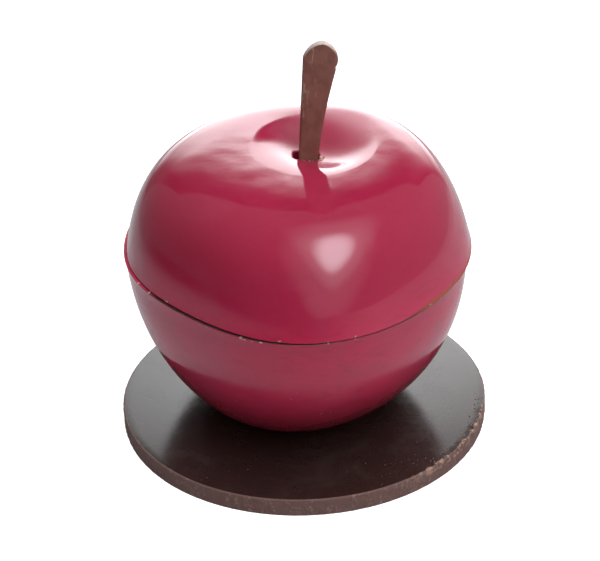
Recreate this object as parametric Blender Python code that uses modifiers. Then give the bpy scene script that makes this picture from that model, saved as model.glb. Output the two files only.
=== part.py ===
# A moulded chocolate fruit on its chocolate disc: a dark ring-cut disc, two half
# shells coloured raspberry red that meet at a tilted seam, and a flat milk
# chocolate stem standing in a hole pierced through the dimple.
#
# Metres, +Z up, +X to the right, +Y to the back. The origin is the centre of the
# disc's underside.

import math

import bmesh
import bpy
from mathutils import Vector

# Driving dimensions
CLEARANCE = 0.0003

DISC_RADIUS = 0.040
DISC_THICKNESS = 0.004
DISC_EDGE_ROUND = 0.0003
DISC_SIDES = 96

# The fruit is built upright about its own axis, with the seam at height 0.
# Neither the body nor the foot is quite round: each swell is a number of lobes, a
# share of the radius and a turn in radians.
FRUIT_PLACE = (-0.0001, 0.0010, 0.0421)
FRUIT_NOD = math.radians(3.06)
FRUIT_LEAN = math.radians(-0.87)
SEAM_RADIUS = 0.0367
SHELL_SHIFT = 0.0003
RIM_FLARE = 0.0004
RIM_FLARE_HEIGHT = 0.0015
BODY_SWELLS = ((2, 0.034, -2.22), (3, 0.018, 2.22), (5, 0.0125, -1.64))
SEGMENTS = 72

UPPER_HEIGHT = 0.0187
RIDGE_RADIUS = 0.0138
SHOULDER_ROUND = 0.51
SHOULDER_RISE = 1.38
DIMPLE_DEPTH = 0.00245
DIMPLE_PLACE = (0.0039, 0.0074)
DIMPLE_SHEAR = 0.55
SHOULDER_RINGS = 16
DIMPLE_RINGS = 7

LOWER_DEPTH = 0.0434
FOOT_SKEW = (-0.0012, 0.0008)
FOOT_SWELLS = ((2, 0.017, 0.56), (3, 0.026, -0.32))
LOWER_RINGS = 16

HOLE_PLACE = (0.0022, 0.0058)
HOLE_HALF_SIZE = (0.00275, 0.0025)
HOLE_SQUARENESS = 4.0
HOLE_FLOOR = 0.0542
HOLE_SIDES = 32

STEM_FOOT = (0.00262, 0.00485, 0.0592)
STEM_LEAN = math.radians(7.9)
STEM_THICKNESS = 0.0022
STEM_SUNK = 0.0045
STEM_SHOULDER = 0.0224
STEM_TIP = 0.0262
STEM_FOOT_HALF_WIDTH = 0.0020
STEM_TOP_HALF_WIDTH = 0.0036
STEM_TIP_ROUND = 1.2
STEM_EDGE_ROUND = 0.00025
STEM_SIDE_POINTS = 6
STEM_TIP_POINTS = 7

CUTTER_MARGIN = 0.010

COLOURS = {
    "raspberry": ((0.36, 0.018, 0.050), 0.16),
    "dark_chocolate": ((0.030, 0.012, 0.009), 0.12),
    "milk_chocolate": ((0.135, 0.052, 0.036), 0.42),
}


def clear_scene():
    for old in list(bpy.data.objects):
        bpy.data.objects.remove(old, do_unlink=True)


def make_collection(name):
    group = bpy.data.collections.new(name)
    bpy.context.scene.collection.children.link(group)
    return group


def make_material(name):
    colour, roughness = COLOURS[name]
    material = bpy.data.materials.new(name)
    material.use_nodes = True
    shader = material.node_tree.nodes["Principled BSDF"]
    shader.inputs["Base Color"].default_value = (*colour, 1.0)
    shader.inputs["Roughness"].default_value = roughness
    shader.inputs["Metallic"].default_value = 0.0
    return material


def add_object(name, data, group, material=None):
    item = bpy.data.objects.new(name, data)
    group.objects.link(item)
    if material:
        data.materials.append(material)
    return item


def smooth(mesh):
    mesh.shade_smooth()
    mesh.set_sharp_from_angle(angle=math.radians(35))


def loft(name, rings, end_point=None):
    """Closed skin through rings of equal count: a flat face closes the first
    ring, and a point or a flat face closes the last."""
    shape = bmesh.new()
    loops = [[shape.verts.new(point) for point in ring] for ring in rings]
    count = len(loops[0])
    shape.faces.new(loops[0])
    for low, high in zip(loops, loops[1:]):
        for i in range(count):
            j = (i + 1) % count
            shape.faces.new((low[i], high[i], high[j], low[j]))
    if end_point is None:
        shape.faces.new(reversed(loops[-1]))
    else:
        tip = shape.verts.new(end_point)
        for i in range(count):
            shape.faces.new((loops[-1][i], tip, loops[-1][(i + 1) % count]))
    bmesh.ops.recalc_face_normals(shape, faces=shape.faces)
    mesh = bpy.data.meshes.new(name)
    shape.to_mesh(mesh)
    shape.free()
    smooth(mesh)
    return mesh


def swelling(swells, angle):
    return sum(amount * math.cos(lobes * angle - turn) for lobes, amount, turn in swells)


def ring(radius, height, centre, body_share, foot_share=0.0):
    """One level ring about a centre, swollen as the body and the foot are."""
    points = []
    for i in range(SEGMENTS):
        angle = math.tau * i / SEGMENTS
        swell = body_share * swelling(BODY_SWELLS, angle) + foot_share * swelling(FOOT_SWELLS, angle)
        reach = radius * (1.0 + swell)
        x = centre[0] + reach * math.cos(angle)
        y = centre[1] + reach * math.sin(angle)
        points.append(Vector((x, y, height)))
    return points


def cut(item, cutter):
    knife = item.modifiers.new("cut by " + cutter.name, "BOOLEAN")
    knife.operation = "DIFFERENCE"
    knife.solver = "EXACT"
    knife.object = cutter


def hide_cutter(cutter):
    cutter.hide_render = True
    cutter.display_type = "WIRE"


# The disc: cut with a round ring from a poured sheet, its edges just broken.
def make_disc(group):
    bpy.ops.mesh.primitive_cylinder_add(
        vertices=DISC_SIDES,
        radius=DISC_RADIUS,
        depth=DISC_THICKNESS,
        location=(0.0, 0.0, DISC_THICKNESS / 2),
    )
    disc = bpy.context.object
    disc.name = "base_disc"
    disc.data.name = "base_disc"
    for owner in list(disc.users_collection):
        owner.objects.unlink(disc)
    group.objects.link(disc)
    disc.data.materials.append(make_material("dark_chocolate"))
    edge = disc.modifiers.new("broken edge", "BEVEL")
    edge.width = DISC_EDGE_ROUND
    edge.segments = 1
    edge.limit_method = "ANGLE"
    smooth(disc.data)
    return disc


def flare(distance):
    """How far a half shell stands out this far from its rim."""
    return RIM_FLARE * math.exp(-distance / RIM_FLARE_HEIGHT)


# The lower half: a deep half ellipse whose body swells pass into those of its foot.
def make_lower_half(group, fruit, material):
    rings = []
    for i in range(LOWER_RINGS):
        turn = math.pi / 2 * i / LOWER_RINGS
        share = math.sin(turn) ** 2
        centre = (FOOT_SKEW[0] * share - SHELL_SHIFT, FOOT_SKEW[1] * share)
        depth = LOWER_DEPTH * math.sin(turn)
        radius = SEAM_RADIUS * math.cos(turn) + flare(depth)
        rings.append(ring(radius, -depth - CLEARANCE / 2, centre, 1.0 - share, share))
    lowest = Vector((FOOT_SKEW[0] - SHELL_SHIFT, FOOT_SKEW[1], -LOWER_DEPTH - CLEARANCE / 2))
    half = add_object("apple_lower", loft("apple_lower", rings, lowest), group, material)
    half.parent = fruit
    return half


# A slab standing in for the room that the disc takes below the fruit's flat foot.
def make_foot_cutter(group):
    height = DISC_THICKNESS + CLEARANCE + CUTTER_MARGIN
    bpy.ops.mesh.primitive_cube_add(size=1.0, location=(0.0, 0.0, height / 2 - CUTTER_MARGIN))
    slab = bpy.context.object
    slab.name = "foot_cutter"
    slab.scale = (2 * DISC_RADIUS, 2 * DISC_RADIUS, height)
    for owner in list(slab.users_collection):
        owner.objects.unlink(slab)
    group.objects.link(slab)
    hide_cutter(slab)
    return slab


# The upper half: a shoulder rising from a slightly flared rim to the ridge around
# the dimple, whose centre lies back and to the right of the fruit's own axis.
def shoulder_ring(share):
    turn = math.pi / 2 * share
    round_off = math.cos(turn) ** SHOULDER_ROUND if share < 1.0 else 0.0
    radius = RIDGE_RADIUS + (SEAM_RADIUS - RIDGE_RADIUS) * round_off
    height = UPPER_HEIGHT * math.sin(turn) ** SHOULDER_RISE
    drift = (1.0 - round_off) ** 2
    centre = (SHELL_SHIFT + DIMPLE_PLACE[0] * drift, DIMPLE_PLACE[1] * drift)
    body_share = radius / SEAM_RADIUS
    return ring(radius + flare(height), height + CLEARANCE / 2, centre, body_share)


def dimple_height(share):
    return UPPER_HEIGHT - DIMPLE_DEPTH * (0.5 + 0.5 * math.cos(math.pi * share))


# One ring of the dimple, drawn back on its left and forward on its right towards the
# bottom, so that the valley floor runs askew as it does on the real mould.
def dimple_ring(share, centre):
    radius = RIDGE_RADIUS * share
    points = ring(radius, dimple_height(share) + CLEARANCE / 2, centre, radius / SEAM_RADIUS)
    for point in points:
        point.y -= DIMPLE_SHEAR * (1.0 - share**2) * (point.x - centre[0])
    return points


def make_upper_half(group, fruit, material):
    rings = [shoulder_ring(i / SHOULDER_RINGS) for i in range(SHOULDER_RINGS + 1)]
    centre = (SHELL_SHIFT + DIMPLE_PLACE[0], DIMPLE_PLACE[1])
    for i in range(1, DIMPLE_RINGS):
        rings.append(dimple_ring(1.0 - i / DIMPLE_RINGS, centre))
    bottom = Vector((*centre, dimple_height(0.0) + CLEARANCE / 2))
    half = add_object("apple_upper", loft("apple_upper", rings, bottom), group, material)
    half.parent = fruit
    return half


# The hole that the stem stands in: a rounded slot, wider than the stem to the
# left and behind it.
def hole_ring(height):
    points = []
    for i in range(HOLE_SIDES):
        angle = math.tau * i / HOLE_SIDES
        across, along = math.cos(angle), math.sin(angle)
        squared = abs(across) ** HOLE_SQUARENESS + abs(along) ** HOLE_SQUARENESS
        reach = squared ** (-1.0 / HOLE_SQUARENESS)
        x = HOLE_PLACE[0] + HOLE_HALF_SIZE[0] * reach * across
        y = HOLE_PLACE[1] + HOLE_HALF_SIZE[1] * reach * along
        points.append(Vector((x, y, height)))
    return points


def make_hole_cutter(group):
    top = FRUIT_PLACE[2] + UPPER_HEIGHT + CUTTER_MARGIN
    rings = [hole_ring(HOLE_FLOOR), hole_ring(top)]
    cutter = add_object("hole_cutter", loft("hole_cutter", rings), group)
    hide_cutter(cutter)
    return cutter


# The stem: a flat plate that widens upwards to a blunt point, leaning right.
def stem_half_width(height):
    grow = (STEM_TOP_HALF_WIDTH - STEM_FOOT_HALF_WIDTH) / STEM_SHOULDER
    return STEM_FOOT_HALF_WIDTH + grow * height


def stem_right_side():
    points = []
    for i in range(STEM_SIDE_POINTS):
        height = -STEM_SUNK + (STEM_SHOULDER + STEM_SUNK) * i / STEM_SIDE_POINTS
        points.append((stem_half_width(height), height))
    for i in range(STEM_TIP_POINTS):
        turn = math.pi / 2 * i / STEM_TIP_POINTS
        arch = math.sin(turn) ** STEM_TIP_ROUND
        height = STEM_SHOULDER + (STEM_TIP - STEM_SHOULDER) * arch
        points.append((STEM_TOP_HALF_WIDTH * math.cos(turn), height))
    return points


def make_stem(group):
    right = stem_right_side()
    left = [(-width, height) for width, height in reversed(right)]
    outline = right + [(0.0, STEM_TIP)] + left
    plate = bpy.data.curves.new("stem", "CURVE")
    plate.dimensions = "2D"
    plate.fill_mode = "BOTH"
    plate.extrude = STEM_THICKNESS / 2
    edge = plate.splines.new("POLY")
    edge.points.add(len(outline) - 1)
    for point, (across, height) in zip(edge.points, outline):
        point.co = (across, height, 0.0, 1.0)
    edge.use_cyclic_u = True
    stem = add_object("stem", plate, group, make_material("milk_chocolate"))
    stem.location = STEM_FOOT
    stem.rotation_euler = (math.pi / 2, STEM_LEAN, 0.0)
    weld = stem.modifiers.new("join the faces", "WELD")
    weld.merge_threshold = 0.00001
    soften = stem.modifiers.new("worn edges", "BEVEL")
    soften.width = STEM_EDGE_ROUND
    soften.segments = 2
    soften.limit_method = "ANGLE"
    soften.angle_limit = math.radians(60)
    return stem


def main():
    clear_scene()
    parts = make_collection("chocolate fruit")
    cutters = make_collection("cutters")

    fruit = bpy.data.objects.new("fruit_axis", None)
    parts.objects.link(fruit)
    fruit.location = FRUIT_PLACE
    fruit.rotation_euler = (FRUIT_NOD, FRUIT_LEAN, 0.0)

    make_disc(parts)
    red = make_material("raspberry")
    cut(make_lower_half(parts, fruit, red), make_foot_cutter(cutters))
    cut(make_upper_half(parts, fruit, red), make_hole_cutter(cutters))
    make_stem(parts)


main()
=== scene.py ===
import math

import bpy
from mathutils import Euler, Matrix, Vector


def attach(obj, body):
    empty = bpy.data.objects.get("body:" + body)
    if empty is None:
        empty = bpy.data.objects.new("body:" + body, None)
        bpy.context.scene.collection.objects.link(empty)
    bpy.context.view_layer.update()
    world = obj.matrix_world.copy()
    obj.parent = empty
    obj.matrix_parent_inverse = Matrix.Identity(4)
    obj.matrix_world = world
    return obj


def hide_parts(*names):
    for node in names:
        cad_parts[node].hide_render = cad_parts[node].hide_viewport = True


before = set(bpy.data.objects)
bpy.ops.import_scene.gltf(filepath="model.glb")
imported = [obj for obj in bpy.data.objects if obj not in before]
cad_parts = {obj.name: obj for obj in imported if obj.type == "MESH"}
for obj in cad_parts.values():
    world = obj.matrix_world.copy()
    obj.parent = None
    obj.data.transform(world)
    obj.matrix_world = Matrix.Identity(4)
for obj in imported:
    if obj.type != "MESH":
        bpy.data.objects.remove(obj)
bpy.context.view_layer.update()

# A moulded chocolate fruit in two raspberry-red halves, with a flat milk chocolate
# stem, on a dark chocolate disc. Lengths are in metres and turns in radians, but a
# lamp's heading is in degrees. Each piece is grown by its own Geometry Nodes tree.

mm = 0.001
halfTurn = math.pi
quarterTurn = math.pi / 2
anyTurn = (6.3, 6.3, 6.3)  # as far round as a loose crumb may be turned on each axis


# One socket that can be written in sums, so 1 - mask * 2 makes its own Math nodes
class Wire:
    def __init__(self, bench, socket):
        self.bench = bench
        self.socket = socket

    def pick(self, name):
        return Wire(self.bench, self.socket.node.outputs[name])

    def __add__(self, other):
        return self.bench.maths("ADD", self, other)

    def __radd__(self, other):
        return self.bench.maths("ADD", other, self)

    def __sub__(self, other):
        return self.bench.maths("SUBTRACT", self, other)

    def __rsub__(self, other):
        return self.bench.maths("SUBTRACT", other, self)

    def __mul__(self, other):
        return self.bench.maths("MULTIPLY", self, other)

    def __rmul__(self, other):
        return self.bench.maths("MULTIPLY", other, self)

    def __truediv__(self, other):
        return self.bench.maths("DIVIDE", self, other)

    def __rtruediv__(self, other):
        return self.bench.maths("DIVIDE", other, self)

    def __pow__(self, other):
        return self.bench.maths("POWER", self, other)

    def __neg__(self):
        return self.bench.maths("MULTIPLY", self, -1.0)

    def __abs__(self):
        return self.bench.maths("ABSOLUTE", self)


# One node tree and the few ways of adding to it
class Bench:
    def __init__(self, tree):
        self.tree = tree
        self.tree.nodes.clear()
        self.count = 0

    def plug(self, socket, value):
        if isinstance(value, Wire):
            self.tree.links.new(value.socket, socket)
        elif socket.type == "RGBA" and len(value) == 3:
            socket.default_value = (*value, 1.0)
        else:
            socket.default_value = value

    def node(self, kind, settings=None, sockets=None):
        made = self.tree.nodes.new(kind)
        made.location = (180 * (self.count % 12), -220 * (self.count // 12))
        self.count += 1
        for name, value in (settings or {}).items():
            setattr(made, name, value)
        for key, value in (sockets or {}).items():
            self.plug(made.inputs[key], value)
        return Wire(self, made.outputs[0]) if made.outputs else made

    def maths(self, operation, *values):
        return self.node("ShaderNodeMath", {"operation": operation}, dict(enumerate(values)))

    def sin(self, value):
        return self.maths("SINE", value)

    def cos(self, value):
        return self.maths("COSINE", value)

    def least(self, a, b):
        return self.maths("MINIMUM", a, b)

    def most(self, a, b):
        return self.maths("MAXIMUM", a, b)

    def ramp(self, value, low, high, lowOut=0.0, highOut=1.0, smooth=True):
        settings = {"interpolation_type": "SMOOTHSTEP" if smooth else "LINEAR", "clamp": True}
        sockets = {"Value": value, "From Min": low, "From Max": high}
        sockets.update({"To Min": lowOut, "To Max": highOut})
        return self.node("ShaderNodeMapRange", settings, sockets)

    def blend(self, share, a, b):
        return a + (b - a) * share

    def vector(self, x, y, z):
        return self.node("ShaderNodeCombineXYZ", sockets={0: x, 1: y, 2: z})

    def split(self, vector):
        first = self.node("ShaderNodeSeparateXYZ", sockets={0: vector})
        return first, first.pick("Y"), first.pick("Z")

    def vectorMaths(self, operation, *values):
        made = self.node("ShaderNodeVectorMath", {"operation": operation}, dict(enumerate(values)))
        return made.pick("Value") if operation in ("DOT_PRODUCT", "LENGTH", "DISTANCE") else made

    def stretch(self, vector, factors):
        return self.vectorMaths("MULTIPLY", vector, factors)

    def mixColour(self, share, a, b):
        made = self.node("ShaderNodeMix", {"data_type": "RGBA"}, {0: share, 6: a, 7: b})
        return Wire(self, made.socket.node.outputs[2])

    def noise(self, vector, size, detail=2.0, rough=0.5, twist=0.0):
        sockets = {"Vector": vector, "Scale": 1.0 / size, "Detail": detail}
        sockets.update({"Roughness": rough, "Distortion": twist})
        return self.node("ShaderNodeTexNoise", {"noise_dimensions": "3D"}, sockets)

    def bump(self, height, strength, distance):
        sockets = {"Strength": strength, "Distance": distance, "Height": height}
        return self.node("ShaderNodeBump", sockets=sockets)


# A Geometry Nodes tree with named inputs for its sizes; grow() makes the plain mesh
class Grower(Bench):
    def __init__(self, name, piece):
        super().__init__(bpy.data.node_groups.new(name, "GeometryNodeTree"))
        self.name = name
        self.sizes = piece["sizes"]
        for label, value in self.sizes.items():
            kind = "NodeSocketInt" if isinstance(value, int) else "NodeSocketFloat"
            self.tree.interface.new_socket(label, in_out="INPUT", socket_type=kind)
        self.tree.interface.new_socket("Geometry", in_out="OUTPUT", socket_type="NodeSocketGeometry")
        self.entry = self.tree.nodes.new("NodeGroupInput")

    def size(self, label):
        return Wire(self, self.entry.outputs[label])

    def grow(self, geometry, material):
        smooth = self.node("GeometryNodeSetShadeSmooth", sockets={"Geometry": geometry})
        real = self.node("GeometryNodeRealizeInstances", sockets={0: smooth})
        painted = self.node("GeometryNodeSetMaterial", sockets={0: real, "Material": material})
        self.node("NodeGroupOutput", sockets={0: painted})
        holder = bpy.data.objects.new(self.name, bpy.data.meshes.new(self.name))
        bpy.context.scene.collection.objects.link(holder)
        modifier = holder.modifiers.new("grow", "NODES")
        modifier.node_group = self.tree
        for socket in self.tree.interface.items_tree:
            if socket.in_out == "INPUT":
                modifier[socket.identifier] = self.sizes[socket.name]
        seen = holder.evaluated_get(bpy.context.evaluated_depsgraph_get())
        mesh = bpy.data.meshes.new_from_object(seen)
        holder.modifiers.clear()
        holder.data = mesh
        mesh.name = self.name
        print(self.name, "grown:", len(mesh.vertices), "points")
        return holder

    # A ball whose rows are told apart, so that each row of a profile can be placed
    def rows(self, segments, zones):
        total = sum(zones.values())
        sockets = {"Segments": segments, "Rings": total, "Radius": 1.0}
        ball = self.node("GeometryNodeMeshUVSphere", sockets=sockets)
        x, y, z = self.split(self.node("GeometryNodeInputPosition"))
        angle = self.maths("ARCTAN2", y, x)
        row = self.maths("ROUND", self.maths("ARCCOSINE", z) * (total / halfTurn))
        shares = {}
        first = 0
        for zone, count in zones.items():
            shares[zone] = self.ramp(row, first, first + count, smooth=False)
            first += count
        return ball, angle, shares

    # How far out a round-cornered square reaches, next to a circle
    def squarish(self, across, along, square):
        return (abs(across) ** square + abs(along) ** square) ** (-1.0 / square)

    def move(self, geometry, place):
        return self.node("GeometryNodeSetPosition", sockets={"Geometry": geometry, "Position": place})

    def push(self, geometry, distance):
        normal = self.node("GeometryNodeInputNormal")
        step = self.vectorMaths("SCALE", normal)
        self.plug(step.socket.node.inputs["Scale"], distance)
        return self.node("GeometryNodeSetPosition", sockets={"Geometry": geometry, "Offset": step})

    def random(self, low, high, seed):
        sockets = {2: low, 3: high, 8: seed}
        return self.node("FunctionNodeRandomValue", {"data_type": "FLOAT"}, sockets).pick(1)

    # The same small ball at a number of spots, each turned its own way
    def strew(self, count, spot, fineness, scale, seed):
        points = self.node("GeometryNodePoints", sockets={"Count": count, "Position": spot})
        spinning = {"data_type": "FLOAT_VECTOR"}
        spin = self.node("FunctionNodeRandomValue", spinning, {1: anyTurn, 8: seed})
        sockets = {"Radius": 1.0, "Subdivisions": fineness}
        ball = self.node("GeometryNodeMeshIcoSphere", sockets=sockets)
        sockets = {"Points": points, "Instance": ball, "Rotation": spin, "Scale": scale}
        return self.node("GeometryNodeInstanceOnPoints", sockets=sockets)


def newMaterial(name):
    material = bpy.data.materials.new(name)
    material.use_nodes = True
    return material, Bench(material.node_tree)


def finishMaterial(bench, sockets):
    shader = bench.node("ShaderNodeBsdfPrincipled", sockets=sockets)
    bench.node("ShaderNodeOutputMaterial", sockets={"Surface": shader})


# The fruit's own axis: where it stands and how it leans, as in the frame. Neither its
# body nor its foot is quite round: each swell is lobes, share of the radius, turn. The
# halves meet a little off centre, with a hair of a gap.
fruit = {
    "place": Vector((-0.1 * mm, 1.0 * mm, 42.1 * mm)),
    "turn": Euler((math.radians(3.06), math.radians(-0.87), 0.0)),
    "seamRadius": 36.7 * mm,
    "rimFlare": 0.4 * mm,
    "flareHeight": 1.5 * mm,
    "shellShift": 0.3 * mm,
    "seamGap": 0.08 * mm,
    "hole": (2.2 * mm, 5.8 * mm),
    "bodySwells": ((2, 0.034, -2.22), (3, 0.018, 2.22), (5, 0.0125, -1.64)),
    "footSwells": ((2, 0.017, 0.56), (3, 0.026, -0.32)),
}


def stand(grower, geometry):
    sockets = {"Geometry": geometry, "Translation": fruit["place"], "Rotation": fruit["turn"]}
    return grower.node("GeometryNodeTransform", sockets=sockets)


def toFruit(point):
    return fruit["turn"].to_matrix().inverted() @ (Vector(point) - fruit["place"])


def swelling(grower, swells, angle):
    total = 0.0
    for lobes, amount, turn in swells:
        total = grower.cos(angle * float(lobes) - turn) * amount + total
    return total


def flare(grower, height):
    return grower.maths("EXPONENT", height / -fruit["flareHeight"]) * grower.size("Rim Flare")


# Coloured cocoa butter. Pairs of heights are above the seam, where a painted light or
# shade or a haze begins and where it is full: the lower half is paler as painted fill light,
# its foot and the left of the shoulder are darker as painted shade, and the back of the
# dimple and the front of the foot are hazier than the rest. Turns go from the front towards
# the right. Noise has its middle at 0.5, and a pair of its values is where a mark begins and
# where it is full.
skin = {
    "colour": (0.340, 0.015, 0.047),
    "paler": (0.373, 0.034, 0.080),
    "deeperAndShade": (0.264, 0.0115, 0.034),
    "lower": (0.530, 0.0245, 0.076),
    "foot": (0.290, 0.0160, 0.037),
    "bare": (0.33, 0.055, 0.022),
    "shadow": (0.045, 0.008, 0.010),
    "chip": (0.60, 0.36, 0.27),
    "paintedFillFrom": (12 * mm, -6 * mm),
    "footShadeFrom": (-14 * mm, -28 * mm),
    "shadedLeftFrom": (-4 * mm, -24 * mm),
    "shadedShoulderFrom": (3 * mm, 12 * mm),
    "cloudSize": 15 * mm,
    "cloudy": (0.48, 0.72),
    "cloudShare": 0.5,
    "smearSize": 7 * mm,
    "smeared": (0.52, 0.30),
    "smearShare": 0.25,
    "leftShadeShare": 0.7,
    "raggedSize": 1.1 * mm,
    "glossSize": 10 * mm,
    "gloss": (0.05, 0.13),
    "haze": 0.31,
    "hazeAt": (6.5 * mm, 13.5 * mm, 60.0 * mm),
    "hazeReach": (6.0 * mm, 15.0 * mm),
    "footHaze": 0.16,
    "footHazeFrom": (-6 * mm, -14 * mm),
    "footHazeTurns": (1.05, 0.55),
    "waveSize": 8 * mm,
    "pitSize": 1.3 * mm,
    "bumpDepth": 0.07 * mm,
    "lineFrom": (-1.15, -0.95),
    "leftLine": 0.22 * mm,
    "rightLine": 0.85 * mm,
    "rightLift": 0.3 * mm,
    "rightFrom": (0.45, 0.80),
    "rightTo": (1.50, 1.80),
    "flakeSize": 1.6 * mm,
    "flaked": (0.66, 0.70),
    "flakeReach": (0.3 * mm, 0.8 * mm),
}


# Around is the turn from the front towards the right, height the rise above the seam
def seamPlace(bench, place):
    rise = fruit["turn"].to_matrix() @ Vector((0.0, 0.0, 1.0))
    away = bench.vectorMaths("SUBTRACT", place, fruit["place"])
    x, y, _ = bench.split(away)
    return bench.maths("ARCTAN2", x, -y), bench.vectorMaths("DOT_PRODUCT", away, rise)


def raspberrySkin():
    material, bench = newMaterial("raspberrySkin")
    place = bench.node("ShaderNodeTexCoord").pick("Object")
    around, height = seamPlace(bench, place)

    # Cloudy smudges, paler where the cocoa butter is thin and deeper where it is thick
    cloud = bench.noise(place, skin["cloudSize"], 5.0, 0.6, 0.8)
    squashed = bench.stretch(place, (1.0, 1.0, 2.2))
    smear = bench.noise(squashed, skin["smearSize"], 4.0, 0.65, 1.5)
    x = bench.split(place)[0]
    # Painted fill light: the lower half is made paler than the upper half
    paintedFill = bench.ramp(height, *skin["paintedFillFrom"])
    colour = bench.mixColour(paintedFill, skin["colour"], skin["lower"])
    thin = bench.ramp(cloud, *skin["cloudy"]) * skin["cloudShare"]
    colour = bench.mixColour(thin, colour, skin["paler"])
    # Painted shade: the left of the shoulder is mixed towards the deeper red, together with the thick
    # smears
    shadedLeft = bench.ramp(x, *skin["shadedLeftFrom"]) * bench.ramp(height, *skin["shadedShoulderFrom"])
    # Painted shade: the foot, towards the bottom of the fruit, is made darker
    foot = bench.ramp(height, *skin["footShadeFrom"])
    thickAndShaded = bench.ramp(smear, *skin["smeared"]) * skin["smearShare"]
    thickAndShaded = bench.most(thickAndShaded, shadedLeft * skin["leftShadeShare"])
    colour = bench.mixColour(thickAndShaded, colour, skin["deeperAndShade"])
    colour = bench.mixColour(foot, colour, skin["foot"])

    # The seam: a painted shadow in the gap on the left, a line of bare chocolate on the right, chips
    # all along
    ragged = bench.noise(place, skin["raggedSize"], 3.0, 0.6)
    onRight = bench.ramp(around, *skin["rightFrom"])
    onRight = onRight * bench.ramp(around, *skin["rightTo"], 1.0, 0.0)
    reach = bench.blend(onRight, skin["leftLine"], skin["rightLine"]) * (ragged * 1.6 + 0.2)
    off = abs(height - onRight * skin["rightLift"])
    line = bench.ramp(off, reach * 0.6, reach, 1.0, 0.0)
    line = line * bench.ramp(around, *skin["lineFrom"])
    colour = bench.mixColour(line, colour, bench.mixColour(onRight, skin["shadow"], skin["bare"]))
    flake = bench.noise(place, skin["flakeSize"], 2.0, 0.5)
    nearSeam = bench.ramp(abs(height), *skin["flakeReach"], 1.0, 0.0)
    chip = bench.ramp(flake, *skin["flaked"]) * nearSeam
    colour = bench.mixColour(chip, colour, skin["chip"])

    # Glossy, but hazier in the dimple and at the front of the foot, and dull where chipped
    gloss = bench.noise(place, skin["glossSize"], 5.0, 0.65, 0.6)
    far = bench.vectorMaths("DISTANCE", place, skin["hazeAt"])
    hazy = bench.ramp(far, *skin["hazeReach"], skin["haze"], 0.0)
    frontFoot = bench.ramp(abs(around), *skin["footHazeTurns"])
    frontFoot = frontFoot * bench.ramp(height, *skin["footHazeFrom"])
    rough = bench.ramp(gloss, 0.35, 0.75, *skin["gloss"]) + hazy
    rough = rough + frontFoot * skin["footHaze"] + (line + chip) * 0.4
    pits = bench.noise(place, skin["pitSize"], 1.0) * 0.05
    wave = bench.noise(place, skin["waveSize"], 1.0) + pits
    bump = bench.bump(wave, 1.0, skin["bumpDepth"])
    finishMaterial(bench, {"Base Color": colour, "Roughness": rough, "IOR": 1.5, "Normal": bump})
    return material


# Side is how far out the cut side begins; corner is the chipped stretch of its top edge
dark = {
    "colour": (0.027, 0.013, 0.011),
    "haze": (0.036, 0.021, 0.018),
    "cut": (0.155, 0.079, 0.066),
    "crumb": (0.34, 0.22, 0.18),
    "chip": (0.42, 0.25, 0.17),
    "gloss": 0.34,
    "topRough": (0.15, 0.19),
    "hazeRough": 0.05,
    "cutRough": 0.65,
    "side": (39.55 * mm, 39.8 * mm),
    "hazeSize": 9 * mm,
    "hazed": (0.45, 0.75),
    "grainSize": 0.6 * mm,
    "dragSize": 1.5 * mm,
    "crumbly": (0.53, 0.64),
    "crumbShare": 0.55,
    "flakeSize": 1.3 * mm,
    "flaked": (0.50, 0.57),
    "flakeShare": 0.8,
    "cornerRight": (19 * mm, 27 * mm),
    "cornerFront": (-4 * mm, -12 * mm),
    "cornerOut": (39.1 * mm, 39.5 * mm),
    "cornerUp": (2.3 * mm, 3.1 * mm),
    "bumpDepth": 0.25 * mm,
}


def darkChocolate():
    material, bench = newMaterial("darkChocolate")
    place = bench.node("ShaderNodeTexCoord").pick("Object")
    x, y, z = bench.split(place)
    reach = bench.vectorMaths("LENGTH", bench.vector(x, y, 0.0))
    side = bench.ramp(reach, *dark["side"])

    # The poured top, faintly hazy; the cut side, dragged across by the ring and crumbly
    haze = bench.ramp(bench.noise(place, dark["hazeSize"], 5.0, 0.65, 0.5), *dark["hazed"])
    top = bench.mixColour(haze, dark["colour"], dark["haze"])
    grain = bench.noise(place, dark["grainSize"], 4.0, 0.7)
    drag = bench.noise(bench.stretch(place, (1.0, 1.0, 0.35)), dark["dragSize"], 3.0, 0.6)
    crumb = bench.ramp(grain * 0.6 + drag * 0.4, *dark["crumbly"]) * dark["crumbShare"]
    cut = bench.mixColour(crumb, dark["cut"], dark["crumb"])
    colour = bench.mixColour(side, top, cut)
    corner = bench.ramp(x, *dark["cornerRight"]) * bench.ramp(y, *dark["cornerFront"])
    corner = corner * bench.ramp(reach, *dark["cornerOut"]) * bench.ramp(z, *dark["cornerUp"])
    flake = bench.ramp(bench.noise(place, dark["flakeSize"], 3.0, 0.7), *dark["flaked"])
    colour = bench.mixColour(corner * flake * dark["flakeShare"], colour, dark["chip"])
    rough = bench.ramp(grain, 0.3, 0.7, *dark["topRough"]) + haze * dark["hazeRough"]
    rough = bench.blend(side, rough, dark["cutRough"])
    bump = bench.bump(grain + drag, side * 0.8 + 0.02, dark["bumpDepth"])
    sockets = {"Base Color": colour, "Roughness": rough, "IOR": 1.5, "Normal": bump}
    sockets["Specular IOR Level"] = dark["gloss"]
    finishMaterial(bench, sockets)
    return material
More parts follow.
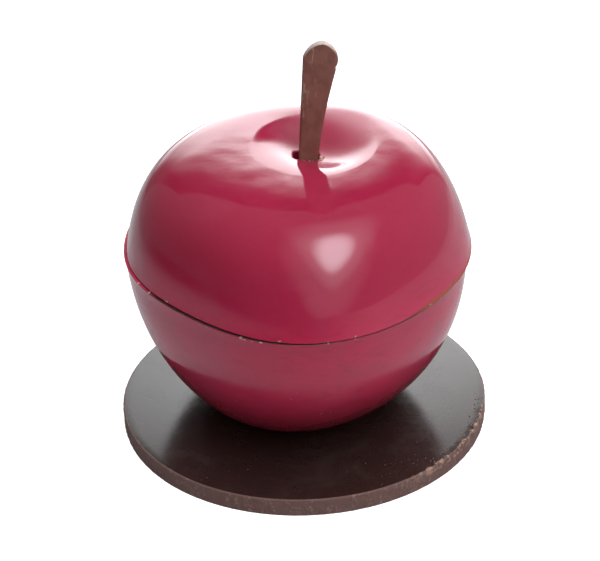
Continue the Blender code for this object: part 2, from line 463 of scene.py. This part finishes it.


# Scuffed is a band along the left edge, which leans by leanedBy; the top, where it faces
# up, is painted with a pale sheen, and its right corner is chipped, from these heights and places on
milk = {
    "colour": (0.250, 0.096, 0.070),
    "darker": (0.200, 0.071, 0.052),
    "scuff": (0.40, 0.26, 0.21),
    "topSheen": (0.42, 0.31, 0.275),
    "chip": (0.55, 0.38, 0.25),
    "rough": (0.36, 0.55),
    "grainSize": 3.0 * mm,
    "grained": (0.62, 0.35),
    "streakSize": 1.2 * mm,
    "streaked": (0.56, 0.66),
    "streakShare": 0.75,
    "scuffed": (-8.0 * mm, -4.5 * mm),
    "leanedBy": 0.14,
    "sheenFacing": (0.25, 0.55),
    "sheenFrom": (74 * mm, 78 * mm),
    "flakeSize": 0.9 * mm,
    "flaked": (0.52, 0.60),
    "chippedRight": (5.2 * mm, 6.2 * mm),
    "chippedFrom": (78 * mm, 80 * mm),
    "bumpDepth": 0.1 * mm,
}


def milkChocolate():
    material, bench = newMaterial("milkChocolate")
    place = bench.node("ShaderNodeTexCoord").pick("Object")
    x, _, z = bench.split(place)
    grain = bench.noise(place, milk["grainSize"], 5.0, 0.6)
    grained = bench.ramp(grain, *milk["grained"])
    colour = bench.mixColour(grained, milk["colour"], milk["darker"])

    # Faint scuffs down its left, and the cut top: a painted greyish sheen where it faces up, with a
    # pale edge that chipped
    streak = bench.noise(bench.stretch(place, (1.0, 1.0, 0.3)), milk["streakSize"], 4.0, 0.7)
    left = bench.ramp(x - z * milk["leanedBy"], *milk["scuffed"], 1.0, 0.15)
    scuff = bench.ramp(streak, *milk["streaked"]) * left * milk["streakShare"]
    colour = bench.mixColour(scuff, colour, milk["scuff"])
    # Painted sheen: faces near the top that point up are mixed towards a pale grey
    facingUp = bench.split(bench.node("ShaderNodeNewGeometry").pick("Normal"))[2]
    sheenTop = bench.ramp(facingUp, *milk["sheenFacing"]) * bench.ramp(z, *milk["sheenFrom"])
    colour = bench.mixColour(sheenTop, colour, milk["topSheen"])
    flake = bench.ramp(bench.noise(place, milk["flakeSize"], 3.0, 0.6), *milk["flaked"])
    onRight = bench.ramp(x, *milk["chippedRight"]) * bench.ramp(z, *milk["chippedFrom"])
    colour = bench.mixColour(flake * sheenTop * onRight, colour, milk["chip"])
    rough = bench.ramp(grain, 0.3, 0.7, *milk["rough"])
    bump = bench.bump(grain + streak * 0.5, 0.5, milk["bumpDepth"])
    finishMaterial(bench, {"Base Color": colour, "Roughness": rough, "IOR": 1.46, "Normal": bump})
    return material


crumbLook = {
    "colour": (0.16, 0.09, 0.07),
    "pale": (0.38, 0.25, 0.20),
    "mottleSize": 1.5 * mm,
    "mottled": (0.4, 0.65),
    "rough": (0.55, 0.8),
}


def crumbChocolate():
    material, bench = newMaterial("crumbChocolate")
    place = bench.node("ShaderNodeTexCoord").pick("Object")
    mottle = bench.noise(place, crumbLook["mottleSize"], 3.0, 0.6)
    pale = bench.ramp(mottle, *crumbLook["mottled"])
    colour = bench.mixColour(pale, crumbLook["colour"], crumbLook["pale"])
    rough = bench.ramp(mottle, 0.3, 0.7, *crumbLook["rough"])
    finishMaterial(bench, {"Base Color": colour, "Roughness": rough})
    return material


# Red skin and pale chocolate melted together, paler to the right of the stem
meltLook = {
    "red": (0.42, 0.03, 0.06),
    "pale": (0.55, 0.33, 0.24),
    "mottleSize": 0.8 * mm,
    "mottled": (0.5, 0.6),
    "palerFrom": (4.2 * mm, 4.9 * mm),
    "palerBy": 0.08,
    "rough": (0.2, 0.45),
}


def meltedSkin():
    material, bench = newMaterial("meltedSkin")
    place = bench.node("ShaderNodeTexCoord").pick("Object")
    mottle = bench.noise(place, meltLook["mottleSize"], 3.0, 0.6)
    onRight = bench.ramp(bench.split(place)[0], *meltLook["palerFrom"], 0.0, meltLook["palerBy"])
    pale = bench.ramp(mottle + onRight, *meltLook["mottled"])
    colour = bench.mixColour(pale, meltLook["red"], meltLook["pale"])
    rough = bench.ramp(mottle, 0.3, 0.7, *meltLook["rough"])
    finishMaterial(bench, {"Base Color": colour, "Roughness": rough})
    return material


skinMaterial = raspberrySkin()
darkMaterial = darkChocolate()
milkMaterial = milkChocolate()
crumbMaterial = crumbChocolate()
meltMaterial = meltedSkin()
print("materials made")


# The upper half, from the floor of the stem's hole over the dimple and the shoulder
# down to the rim and across its flat underside
upper = {
    "sizes": {
        "Segments": 420,
        "Seam Radius": fruit["seamRadius"],
        "Rise": 18.7 * mm,
        "Ridge Radius": 13.8 * mm,
        "Ridge Right": 4.2 * mm,
        "Ridge Back": 7.4 * mm,
        "Dimple Depth": 2.45 * mm,
        "Rim Flare": fruit["rimFlare"],
        "Rim Round": 0.25 * mm,
        "Hole Half Width": 2.75 * mm,
        "Hole Half Length": 2.5 * mm,
        "Lip Round": 0.35 * mm,
    },
    "zones": {"floor": 4, "wall": 9, "lip": 6, "dimple": 44, "shoulder": 120, "rim": 8, "under": 6},
    "shoulderRound": 0.51,
    "shoulderRise": 1.38,
    "dimpleShear": 0.55,
    "holeCentre": toFruit((*fruit["hole"], 59.0 * mm)),
    "holeFloor": toFruit((*fruit["hole"], 54.2 * mm)).z,
    "holeSquareness": 4.0,
}


def growUpper():
    g = Grower("appleUpper", upper)
    ball, angle, share = g.rows(g.size("Segments"), upper["zones"])
    across = g.cos(angle)
    along = g.sin(angle)

    # The hole: its floor, its wall and the rounded lip, out to where the dimple begins
    reach = g.squarish(across, along, upper["holeSquareness"])
    lipOut = g.size("Lip Round") * (1.0 - g.cos(share["lip"] * quarterTurn))
    holeX = across * reach * (g.size("Hole Half Width") + lipOut) * share["floor"]
    holeY = along * reach * (g.size("Hole Half Length") + lipOut) * share["floor"]
    holeX = holeX + upper["holeCentre"].x
    holeY = holeY + upper["holeCentre"].y

    # The shoulder: from the ridge round the dimple out and down to the rim
    turn = (1.0 - share["shoulder"]) * quarterTurn
    roundOff = g.cos(turn) ** upper["shoulderRound"]
    drift = (1.0 - roundOff) ** 2.0
    rise = (g.size("Rise") - g.size("Rim Round")) * g.sin(turn) ** upper["shoulderRise"]
    ring = g.size("Ridge Radius") + (g.size("Seam Radius") - g.size("Ridge Radius")) * roundOff
    swell = swelling(g, fruit["bodySwells"], angle) * ring / g.size("Seam Radius") + 1.0
    rimIn = g.size("Rim Round") * (1.0 - g.cos(share["rim"] * quarterTurn))
    ring = ((ring + flare(g, rise)) * swell - rimIn) * (1.0 - share["under"])
    shift = fruit["shellShift"]
    ringX = across * ring + (g.size("Ridge Right") - shift) * drift + shift
    ringY = along * ring + g.size("Ridge Back") * drift

    # The dimple between them, a round bowl sheared a little
    x = g.blend(share["dimple"], holeX, ringX)
    y = g.blend(share["dimple"], holeY, ringY)
    offX = x - g.size("Ridge Right")
    offY = y - g.size("Ridge Back")
    outSquared = (offX * offX + offY * offY) / g.size("Ridge Radius") ** 2.0
    inside = g.ramp(outSquared, 0.0, 1.0, 1.0, 0.0, smooth=False)
    offY = offY + offX * inside * upper["dimpleShear"]
    out = g.least(g.maths("SQRT", offX * offX + offY * offY) / g.size("Ridge Radius"), 1.0)
    bowl = g.cos(out * halfTurn) * 0.5 + 0.5
    top = rise + g.size("Rim Round") - bowl * g.size("Dimple Depth")
    lipDrop = g.size("Lip Round") * (1.0 - g.sin(share["lip"] * quarterTurn))
    floor = upper["holeFloor"]
    z = (top - lipDrop - floor) * share["wall"] + floor
    z = z - g.size("Rim Round") * g.sin(share["rim"] * quarterTurn) + fruit["seamGap"]

    shell = g.move(ball, g.vector(x, y, z))
    return g.grow(stand(g, shell), skinMaterial)


# The lower half: a deep half ellipse, slightly lobed, pressed flat where it stands
lower = {
    "sizes": {
        "Segments": 420,
        "Seam Radius": fruit["seamRadius"],
        "Depth": 43.4 * mm,
        "Rim Flare": fruit["rimFlare"],
        "Rim Round": 0.2 * mm,
        "Foot Height": 4.03 * mm,
    },
    "zones": {"top": 6, "rim": 6, "side": 200},
    "skew": (-1.2 * mm, 0.8 * mm),
    "footRound": 0.5 * mm,
}


def growLower():
    g = Grower("appleLower", lower)
    ball, angle, share = g.rows(g.size("Segments"), lower["zones"])
    turn = share["side"] * quarterTurn
    sunk = g.sin(turn) ** 2.0
    body = swelling(g, fruit["bodySwells"], angle)
    foot = swelling(g, fruit["footSwells"], angle)
    swell = g.blend(sunk, body, foot) + 1.0
    rimIn = g.size("Rim Round") * (1.0 - g.sin(share["rim"] * quarterTurn))
    ring = g.size("Seam Radius") * g.cos(turn) + flare(g, g.size("Depth") * g.sin(turn))
    ring = (ring * swell - rimIn) * share["top"]
    x = g.cos(angle) * ring + sunk * lower["skew"][0] - fruit["shellShift"]
    y = g.sin(angle) * ring + sunk * lower["skew"][1]
    rimDrop = g.size("Rim Round") * (1.0 - g.cos(share["rim"] * quarterTurn))
    z = -fruit["seamGap"] - rimDrop - (g.size("Depth") - g.size("Rim Round")) * g.sin(turn)
    shell = stand(g, g.move(ball, g.vector(x, y, z)))
    px, py, pz = g.split(g.node("GeometryNodeInputPosition"))
    flat = g.maths("SMOOTH_MAX", pz, g.size("Foot Height"), lower["footRound"])
    return g.grow(g.move(shell, g.vector(px, py, flat)), skinMaterial)


# The disc, ring-cut from a poured sheet: glossy above, rough where it was cut
disc = {
    "sizes": {
        "Segments": 480,
        "Radius": 40.0 * mm,
        "Thickness": 4.0 * mm,
        "Edge Round": 0.3 * mm,
    },
    "zones": {"top": 24, "upperEdge": 8, "side": 26, "lowerEdge": 8, "under": 16},
    "ragged": 0.20 * mm,
    "raggedSize": 1.3 * mm,
    "chipped": 0.34 * mm,
    "chippedSize": 1.6 * mm,
    "chippedNoise": (0.42, 0.62),
    "chippedTurns": (0.75, 1.0, 1.4, 1.6),
    "chippedFrom": (1.2 * mm, 4.0 * mm),
}


def growDisc():
    g = Grower("baseDisc", disc)
    ball, angle, share = g.rows(g.size("Segments"), disc["zones"])
    edge = g.size("Edge Round")
    inner = g.size("Radius") - edge
    upperOut = edge * g.sin(share["upperEdge"] * quarterTurn)
    lowerIn = edge * (1.0 - g.cos(share["lowerEdge"] * quarterTurn))
    ring = (inner * share["top"] + upperOut - lowerIn) * (1.0 - share["under"])
    upperDrop = edge * (1.0 - g.cos(share["upperEdge"] * quarterTurn))
    lowerDrop = edge * g.sin(share["lowerEdge"] * quarterTurn)
    side = (g.size("Thickness") - edge * 2.0) * share["side"]
    z = g.size("Thickness") - upperDrop - side - lowerDrop

    # The cut is ragged all round, and a stretch at the right of the front is chipped
    start, full, less, end = disc["chippedTurns"]
    spot = g.vector(g.cos(angle) * ring, g.sin(angle) * ring, z)
    cut = share["upperEdge"] * (1.0 - share["lowerEdge"])
    turned = g.maths("ARCTAN2", g.cos(angle), -g.sin(angle))
    worn = g.ramp(turned, start, full) * g.ramp(turned, less, end, 1.0, 0.0)
    worn = worn * g.ramp(z, *disc["chippedFrom"])
    ragged = (g.noise(spot, disc["raggedSize"], 3.0, 0.6) - 0.5) * (2.0 * disc["ragged"])
    chipped = g.ramp(g.noise(spot, disc["chippedSize"], 3.0, 0.6), *disc["chippedNoise"])
    ring = ring + cut * (ragged - chipped * worn * disc["chipped"])
    plate = g.move(ball, g.vector(g.cos(angle) * ring, g.sin(angle) * ring, z))
    return g.grow(plate, darkMaterial)


# The stem: a flat plate that widens upwards to a rounded tip, cut by hand. Its right
# edge is waisted, with a small nick below the tip.
stem = {
    "sizes": {
        "Segments": 128,
        "Sunk": 4.5 * mm,
        "Shoulder": 22.4 * mm,
        "Tip": 26.2 * mm,
        "Foot Half Width": 2.0 * mm,
        "Top Half Width": 3.6 * mm,
        "Half Thickness": 1.1 * mm,
    },
    "zones": {"foot": 4, "body": 110, "tip": 40},
    "squareness": 7.0,
    "tipRound": 1.2,
    "tipTilt": 0.05,
    "tilted": (19.0 * mm, 23.0 * mm),
    "rightWaist": 0.45 * mm,
    "nick": 0.22 * mm,
    "nickAt": 21.2 * mm,
    "nickHalf": 0.6 * mm,
    "wavySize": 2.5 * mm,
    "wavy": 0.18 * mm,
    "lean": math.radians(7.9),
    "place": Vector((2.62 * mm, 4.85 * mm, 59.2 * mm)),
}


def growStem():
    g = Grower("chocolateStem", stem)
    ball, angle, share = g.rows(g.size("Segments"), stem["zones"])
    across = g.cos(angle)
    along = g.sin(angle)
    reach = g.squarish(across, along, stem["squareness"])
    body = (g.size("Shoulder") + g.size("Sunk")) * share["body"] - g.size("Sunk")
    slope = (g.size("Top Half Width") - g.size("Foot Half Width")) / g.size("Shoulder")
    width = (g.size("Foot Half Width") + slope * body) * g.cos(share["tip"] * quarterTurn)
    arch = g.sin(share["tip"] * quarterTurn) ** stem["tipRound"]
    x = across * reach * width * share["foot"]
    climb = g.ramp(body, 0.0, g.size("Shoulder"), smooth=False)
    nick = g.ramp(abs(body - stem["nickAt"]), 0.0, stem["nickHalf"], stem["nick"], 0.0)
    pared = g.sin(climb * halfTurn) * stem["rightWaist"] + nick
    x = x - pared * g.ramp(across, 0.0, 0.8)
    wavy = g.noise(g.vector(x, along, body), stem["wavySize"], 3.0) - 0.5
    x = x + wavy * stem["wavy"] * share["foot"]
    y = along * reach * g.size("Half Thickness") * share["foot"]
    z = body + (g.size("Tip") - g.size("Shoulder")) * arch
    tilt = g.ramp(z, *stem["tilted"]) * x * stem["tipTilt"]
    plate = g.move(ball, g.vector(x, y, z + tilt))
    sockets = {"Geometry": plate, "Translation": stem["place"]}
    sockets["Rotation"] = (0.0, stem["lean"], 0.0)
    return g.grow(g.node("GeometryNodeTransform", sockets=sockets), milkMaterial)


# Crumbs on the disc's top and along its chipped edge. Each heap is a number of crumbs,
# strewn between two turns from the front towards the right, and between two radii.
crumbs = {
    "sizes": {
        "Smallest": 0.04 * mm,
        "Largest": 0.14 * mm,
        "Lump": 0.6,
    },
    "lift": 0.03 * mm,
    "shape": (1.0, 0.8, 0.6),
    "lumpSize": 0.25 * mm,
    "lumpDepth": 0.2 * mm,
    "heaps": {
        "rightDust": {"count": 30, "turns": (0.25, 1.15), "radii": (29.0 * mm, 39.2 * mm), "grow": 1.0},
        "leftDust": {"count": 8, "turns": (-1.2, -0.3), "radii": (30.0 * mm, 39.0 * mm), "grow": 0.8},
        "edgeDust": {"count": 60, "turns": (0.75, 1.5), "radii": (37.6 * mm, 39.4 * mm), "grow": 1.4},
    },
}


def growCrumbs():
    g = Grower("chocolateCrumbs", crumbs)
    high = disc["sizes"]["Thickness"] + crumbs["lift"]
    heaps = g.node("GeometryNodeJoinGeometry")
    joinedTo = heaps.socket.node.inputs[0]
    for number, heap in enumerate(crumbs["heaps"].values()):
        seed = 10 * number
        turn = g.random(*heap["turns"], seed)
        reach = g.random(*heap["radii"], seed + 1)
        size = g.random(g.size("Smallest"), g.size("Largest"), seed + 2) * heap["grow"]
        spot = g.vector(g.sin(turn) * reach, -g.cos(turn) * reach, high)
        scale = g.stretch(g.vector(size, size, size), crumbs["shape"])
        g.plug(joinedTo, g.strew(heap["count"], spot, 2, scale, seed + 3))
    real = g.node("GeometryNodeRealizeInstances", sockets={0: heaps})
    lumps = g.noise(g.node("GeometryNodeInputPosition"), crumbs["lumpSize"], 1.0) - 0.5
    return g.grow(g.push(real, lumps * (g.size("Lump") * crumbs["lumpDepth"])), crumbMaterial)


# What melted and set again in ragged lumps along the rim of the stem's hole. Turns are
# the stretch of rim that they stand on, and the stretch where they grow larger and stray;
# slope is how they follow the dimple down to the right and the back.
melt = {
    "sizes": {
        "Lumps": 34,
        "Half Width": 2.85 * mm,
        "Half Length": 2.6 * mm,
        "Smallest": 0.10 * mm,
        "Largest": 0.20 * mm,
        "Strayed": 1.5 * mm,
    },
    "centre": Vector((*fruit["hole"], 59.32 * mm)),
    "turns": (-2.5, 0.1),
    "rightTurns": (-1.1, -0.4),
    "slope": 0.1,
    "shape": (1.3, 1.0, 0.8),
    "lumpSize": 0.35 * mm,
    "lumpDepth": 0.2 * mm,
}


def growMelt():
    g = Grower("meltedRim", melt)
    centre = melt["centre"]
    turn = g.random(*melt["turns"], 71)
    across = g.cos(turn)
    along = g.sin(turn)
    reach = g.squarish(across, along, upper["holeSquareness"])
    onRight = g.ramp(turn, *melt["rightTurns"])
    stray = g.random(0.0, g.size("Strayed"), 74) * onRight
    x = across * (reach * g.size("Half Width") + stray) + centre.x
    y = along * reach * g.size("Half Length") + centre.y
    fall = (x - centre.x) + g.most(y - centre.y + g.size("Half Length"), 0.0)
    spot = g.vector(x, y, centre.z - fall * melt["slope"])
    size = g.random(g.size("Smallest"), g.size("Largest"), 72) * (onRight * 0.7 + 1.0)
    scale = g.stretch(g.vector(size, size, size), melt["shape"])
    lumps = g.strew(g.size("Lumps"), spot, 4, scale, 73)
    real = g.node("GeometryNodeRealizeInstances", sockets={0: lumps})
    ragged = g.noise(g.node("GeometryNodeInputPosition"), melt["lumpSize"], 2.0) - 0.5
    return g.grow(g.push(real, ragged * melt["lumpDepth"]), meltMaterial)


def hang(piece, node):
    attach(piece, "root")
    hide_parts(node)


hang(growUpper(), "apple_upper")
hang(growLower(), "apple_lower")
hang(growDisc(), "base_disc")
hang(growStem(), "stem")
for extra, slot in ((growCrumbs(), "milk_chocolate"), (growMelt(), "raspberry_skin")):
    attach(extra, "root")
print("pieces in place")


# A plain pale floor. Far from the fruit it is paler to the right and behind and darker in front,
# painted light and shade that the fruit sees in its reflections.
floorLook = {
    "size": 4.0,
    "colour": (0.46, 0.46, 0.46),
    "farRight": 0.62,
    "farBack": 0.26,
    "farFront": 0.04,
    "rightFrom": (-0.1, 0.9),
    "backFrom": (0.0, 0.6),
    "fall": (0.10, 0.35),
    "shine": 1.0,
}


def makeFloor():
    half = floorLook["size"] / 2
    mesh = bpy.data.meshes.new("floor")
    corners = [(-half, -half, 0.0), (half, -half, 0.0), (half, half, 0.0), (-half, half, 0.0)]
    mesh.from_pydata(corners, [], [(0, 1, 2, 3)])
    floor = bpy.data.objects.new("floor", mesh)
    bpy.context.scene.collection.objects.link(floor)
    material, bench = newMaterial("paleFloor")
    seen = bench.node("ShaderNodeLightPath").pick("Is Camera Ray")
    place = bench.node("ShaderNodeTexCoord").pick("Object")
    x, y, _ = bench.split(place)
    away = bench.vectorMaths("LENGTH", place)
    # Painted light and shade: the far floor is paler to the right and behind, darker in front
    front = floorLook["farFront"]
    toRight = bench.ramp(x / away, *floorLook["rightFrom"], front, floorLook["farRight"])
    toBack = bench.ramp(y / away, *floorLook["backFrom"], front, floorLook["farBack"])
    far = bench.mixColour(bench.most(toRight, toBack), (0.0, 0.0, 0.0), (1.0, 1.0, 1.0))
    colour = bench.mixColour(bench.ramp(away, *floorLook["fall"]), floorLook["colour"], far)
    sockets = {"Base Color": colour, "Roughness": 0.9, "Specular IOR Level": 0.0}
    sockets["Emission Color"] = bench.mixColour(seen, (0.0, 0.0, 0.0), (1.0, 1.0, 1.0))
    sockets["Emission Strength"] = floorLook["shine"]
    finishMaterial(bench, sockets)
    mesh.materials.append(material)


# The studio: a dim room, lighter to the right and behind, with a soft box overhead and a
# panel close behind. Each lamp in the room lies towards a direction, its length along a
# heading in plan; length and width are slopes seen from the fruit, soft is the share over
# which it fades. A squareness of 2 makes a lamp's outline round, and more makes it square.
studio = {
    "front": 0.06,
    "left": 0.09,
    "right": 0.36,
    "back": 0.26,
    "overhead": 0.08,
    "backFrom": (-0.6, 0.9),
    "overheadFrom": (0.3, 1.0),
    "tint": (0.94, 0.985, 1.04),
}
lamps = {
    "box": {
        "toward": (0.245, -0.25, 1.0),
        "heading": -76,
        "length": 0.50,
        "width": 0.170,
        "soft": 0.9,
        "light": 7.0,
    },
    "boxGlow": {
        "toward": (0.265, -0.25, 1.0),
        "heading": -76,
        "length": 1.0,
        "width": 0.30,
        "soft": 0.9,
        "light": 1.4,
    },
    "boxTail": {
        "toward": (0.30, -0.80, 1.0),
        "heading": -76,
        "length": 1.4,
        "width": 0.50,
        "soft": 0.9,
        "light": 0.8,
    },
}
lampSquareness = 2.0

# The panel is lit from the floor up to its top, which droops to both sides; fade and
# spread are how softly it ends in the middle and further out
panel = {
    "away": 0.42,
    "half": 0.32,
    "high": 0.46,
    "light": 6.0,
    "top": 0.330,
    "leftDroop": 0.45,
    "rightDroop": 0.55,
    "fade": 0.012,
    "spread": 1.2,
    "left": (-0.24, -0.02),
    "leftLight": 0.03,
    "right": (0.05, 0.32),
    "rightLight": 0.04,
    "gap": 0.112,
    "gapHalf": 0.006,
    "gapLight": 0.35,
    "tint": (0.97, 0.985, 1.0),
}


def lampGlow(bench, direction, lamp):
    ahead = Vector(lamp["toward"]).normalized()
    heading = math.radians(lamp["heading"])
    along = Vector((math.cos(heading), math.sin(heading), 0.0))
    along = (along - ahead * along.dot(ahead)).normalized()
    depth = bench.vectorMaths("DOT_PRODUCT", direction, ahead)
    off = 0.0
    for axis, span in ((along, lamp["length"]), (ahead.cross(along), lamp["width"])):
        slope = bench.vectorMaths("DOT_PRODUCT", direction, axis) / depth
        off = abs(slope / span) ** lampSquareness + off
    glow = bench.ramp(off, 1.0 - lamp["soft"], 1.0 + lamp["soft"], lamp["light"], 0.0)
    return glow * bench.ramp(depth, 0.0, 0.05)


def makeStudio():
    world = bpy.data.worlds.new("studio")
    world.use_nodes = True
    bpy.context.scene.world = world
    bench = Bench(world.node_tree)
    direction = bench.node("ShaderNodeTexCoord")
    x, y, z = bench.split(direction)
    light = bench.ramp(y, *studio["backFrom"], studio["front"], studio["back"])
    light = light + bench.ramp(x, 0.0, -1.0, 0.0, studio["left"] - studio["front"])
    light = light + bench.ramp(x, 0.0, 1.0, 0.0, studio["right"] - studio["front"])
    light = light + bench.ramp(z, *studio["overheadFrom"], 0.0, studio["overhead"])
    for lamp in lamps.values():
        light = light + lampGlow(bench, direction, lamp)
    seen = bench.node("ShaderNodeLightPath").pick("Is Camera Ray")
    strength = bench.blend(seen, light, 1.0)
    tint = bench.mixColour(seen, studio["tint"], (1.0, 1.0, 1.0))
    backdrop = bench.node("ShaderNodeBackground", sockets={"Color": tint, "Strength": strength})
    bench.node("ShaderNodeOutputWorld", sockets={"Surface": backdrop})


# A dark joint crosses the panel at the height of its gap
def makePanel():
    half = panel["half"]
    high = panel["high"]
    mesh = bpy.data.meshes.new("backPanel")
    corners = [(-half, 0.0, 0.0), (half, 0.0, 0.0), (half, 0.0, high), (-half, 0.0, high)]
    mesh.from_pydata(corners, [], [(0, 1, 2, 3)])
    sheet = bpy.data.objects.new("backPanel", mesh)
    sheet.location = (0.0, panel["away"], 0.001)
    sheet.visible_camera = False
    bpy.context.scene.collection.objects.link(sheet)
    material, bench = newMaterial("backPanel")
    x, _, z = bench.split(bench.node("ShaderNodeTexCoord").pick("Object"))
    droop = bench.most(x * panel["rightDroop"], x * -panel["leftDroop"])
    over = bench.most(z + droop - panel["top"], 0.0)
    glow = bench.maths("EXPONENT", over / (x * x * -panel["spread"] - panel["fade"]))
    glow = glow * bench.ramp(x, *panel["left"], panel["leftLight"], 1.0)
    glow = glow * bench.ramp(x, *panel["right"], 1.0, panel["rightLight"])
    fromJoint = abs(z - panel["gap"]) / panel["gapHalf"]
    joint = bench.ramp(fromJoint, 0.6, 1.0, panel["gapLight"], 1.0)
    front = 1.0 - bench.node("ShaderNodeNewGeometry").pick("Backfacing")
    colour = bench.mixColour(glow * joint * front, (0.0, 0.0, 0.0), panel["tint"])
    sockets = {"Base Color": (0.0, 0.0, 0.0), "Specular IOR Level": 0.0}
    sockets.update({"Emission Color": colour, "Emission Strength": panel["light"]})
    finishMaterial(bench, sockets)
    mesh.materials.append(material)


camera = {
    "elevation": math.radians(30.31),
    "distance": 0.400,
    "aim": Vector((0.0, 0.0, 0.03244)),
    "roll": math.radians(-1.99),
    "lens": 112.08,
    "sensor": 36.0,
}


def makeCamera():
    data = bpy.data.cameras.new("camera")
    data.lens = camera["lens"]
    data.sensor_width = camera["sensor"]
    data.clip_start = 0.01
    view = bpy.data.objects.new("camera", data)
    bpy.context.scene.collection.objects.link(view)
    away = Vector((0.0, -math.cos(camera["elevation"]), math.sin(camera["elevation"])))
    view.location = camera["aim"] + away * camera["distance"]
    turn = away.to_track_quat("Z", "Y").to_matrix()
    roll = Euler((0.0, 0.0, camera["roll"])).to_matrix()
    view.rotation_euler = (turn @ roll).to_euler()
    bpy.context.scene.camera = view


makeFloor()
makeStudio()
makePanel()
makeCamera()
bpy.context.scene.view_settings.view_transform = "Standard"
print("floor, studio and camera set")
